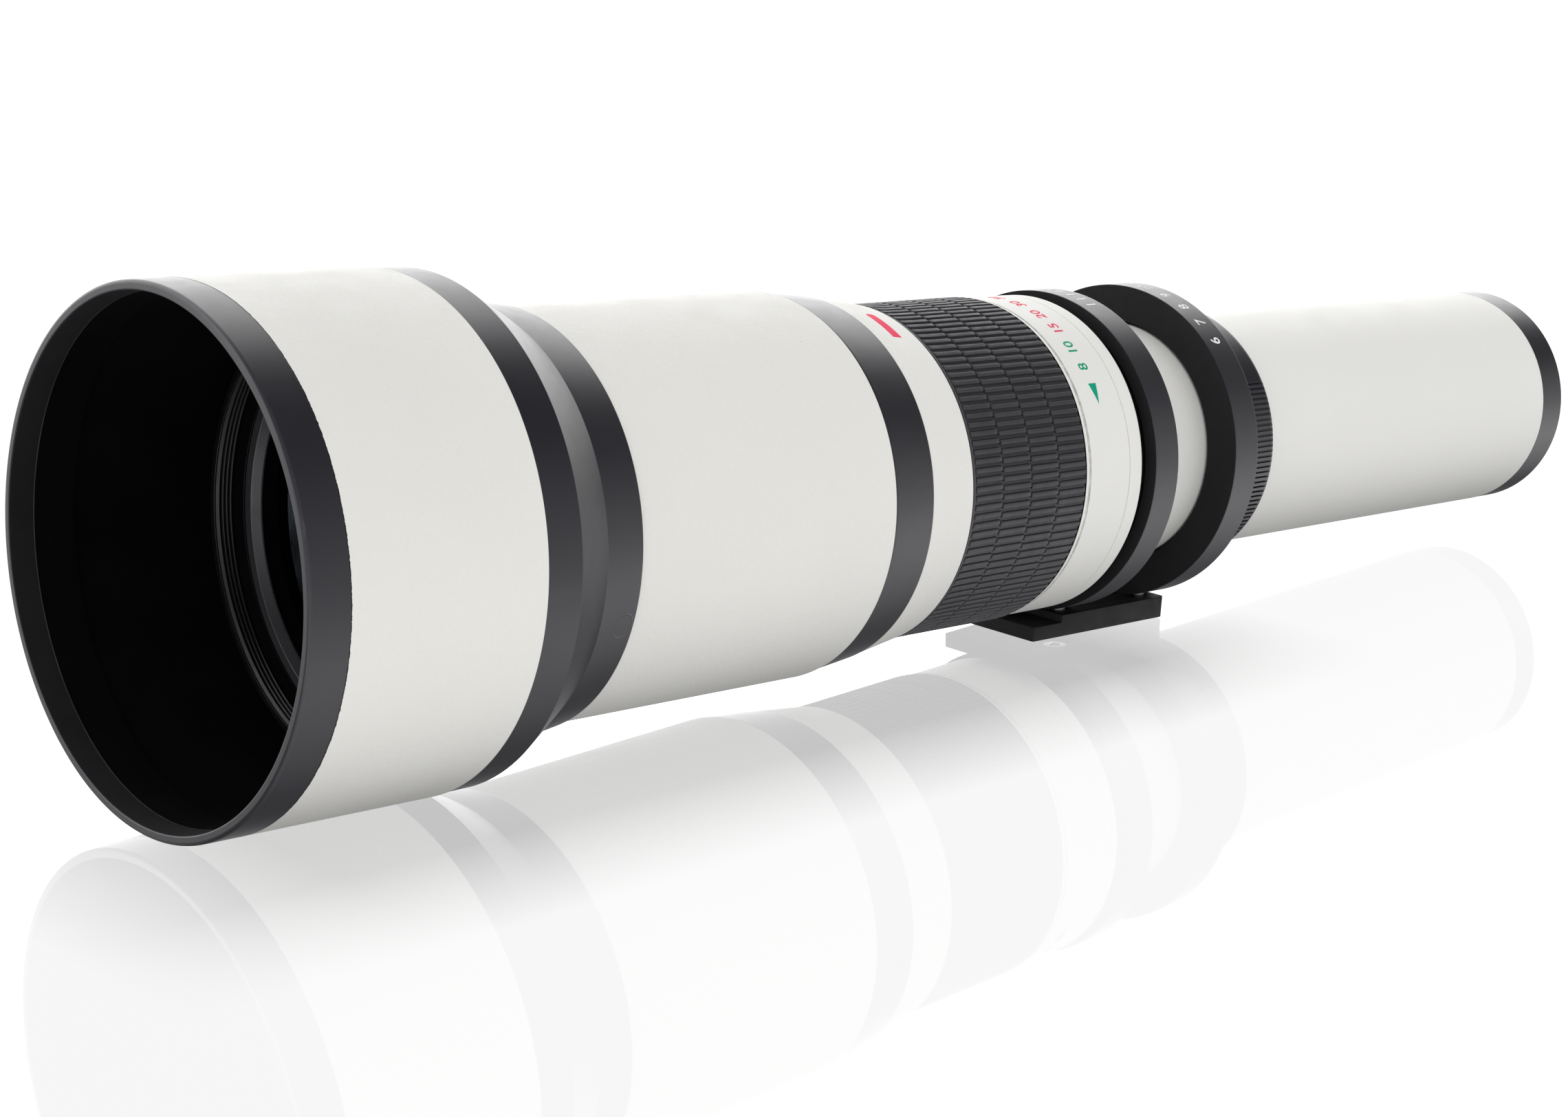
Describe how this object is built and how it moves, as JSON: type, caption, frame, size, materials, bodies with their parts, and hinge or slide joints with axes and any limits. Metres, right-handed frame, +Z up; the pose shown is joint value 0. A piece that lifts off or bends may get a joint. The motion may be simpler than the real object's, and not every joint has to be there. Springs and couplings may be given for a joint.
{
  "type": "super telephoto zoom lens",
  "caption": "Long white push-pull telephoto zoom lens with sliding hood, rubber focus ring, tripod cradle with foot, zoom lock ring and a rear tube that slides to zoom.",
  "frame": {"origin": "middle of the tripod foot's underside, straight below the optical axis", "axes": "+X along the optical axis from the objective to the camera end, +Z up from the foot to the barrel, +Y to the left of a photographer looking through the lens"},
  "size_m": [0.4605, 0.109, 0.109],
  "materials": {
    "white_paint": "semi-matte off-white enamel with a fine crackle",
    "black_anodised": "satin black, fine blasted grain",
    "matt_black": "matt black anodised, anti-reflection",
    "rubber": "ribbed black rubber",
    "grey_metal": "dark grey anodised",
    "brass": "turned",
    "steel": "turned",
    "felt": "black felt",
    "coated_glass": "polished, multicoated"
  },
  "bodies": {
    "barrel": {"filter_ring": "matt_black", "objective_retaining_ring": "grey_metal", "objective_cell": "matt_black", "objective_element_1": "coated_glass", "objective_spacer": "matt_black", "objective_element_2": "coated_glass", "main_barrel": "white_paint", "front_bulkhead": "matt_black", "core_tube": "matt_black", "barrel_rear_band": "black_anodised", "name_ring": "white_paint", "scale_ring": "white_paint", "scale_ring_retainer": "white_paint", "collar_front_ring": "black_anodised", "collar_rear_ring": "black_anodised", "tripod_foot": "black_anodised", "foot_screw_1": "steel", "foot_screw_2": "steel", "foot_screw_3": "steel", "foot_screw_4": "steel", "front_guide_bush": "felt", "rear_guide_bush": "felt", "lock_collet": "brass", "focus_guide_rod_1": "steel", "focus_guide_rod_2": "steel", "guide_rod_plate": "matt_black"},
    "hood": {"hood_front_ring": "black_anodised", "hood_shell": "white_paint", "hood_rear_collar": "black_anodised", "hood_felt_liner": "felt", "hood_stop_plug": "black_anodised"},
    "focus_ring": {"focus_ring_sleeve": "white_paint", "rubber_grip": "rubber", "focus_drive_key": "steel", "focus_cam_sleeve": "matt_black"},
    "focus_group": {"focus_cell": "matt_black", "focus_element_1": "coated_glass", "focus_element_2": "coated_glass", "focus_cam_pin": "brass"},
    "zoom_tube": {"zoom_stop_ring": "matt_black", "zoom_tube_shell": "white_paint", "rear_ring": "black_anodised", "t_mount_ring": "steel", "relay_cell": "matt_black", "relay_element_1": "coated_glass", "relay_element_2": "coated_glass", "light_baffle": "matt_black", "rear_cell": "matt_black", "rear_element_1": "coated_glass", "rear_element_2": "coated_glass"},
    "lock_ring": {"zoom_lock_ring": "black_anodised"}
  },
  "joints": [
    {"name": "hood_slide", "type": "slide", "parent": "barrel", "child": "hood", "axis": [1, 0, 0], "range_m": [0, 0.046]},
    {"name": "focus_turn", "type": "hinge", "parent": "barrel", "child": "focus_ring", "pos_m": [-0.061, 0, 0.045], "axis": [1, 0, 0], "range_deg": [0, 180]},
    {"name": "focus_travel", "type": "slide", "parent": "barrel", "child": "focus_group", "axis": [1, 0, 0], "range_m": [0, 0.0121]},
    {"name": "zoom_slide", "type": "slide", "parent": "barrel", "child": "zoom_tube", "axis": [1, 0, 0], "range_m": [-0.13, 0]},
    {"name": "zoom_lock_turn", "type": "hinge", "parent": "barrel", "child": "lock_ring", "pos_m": [0.033, 0, 0.045], "axis": [1, 0, 0], "range_deg": [0, 40]}
  ],
  "couplings": [
    {"joint": "focus_travel", "follows": "focus_turn", "m_per_rad": 0.0038197}
  ]
}
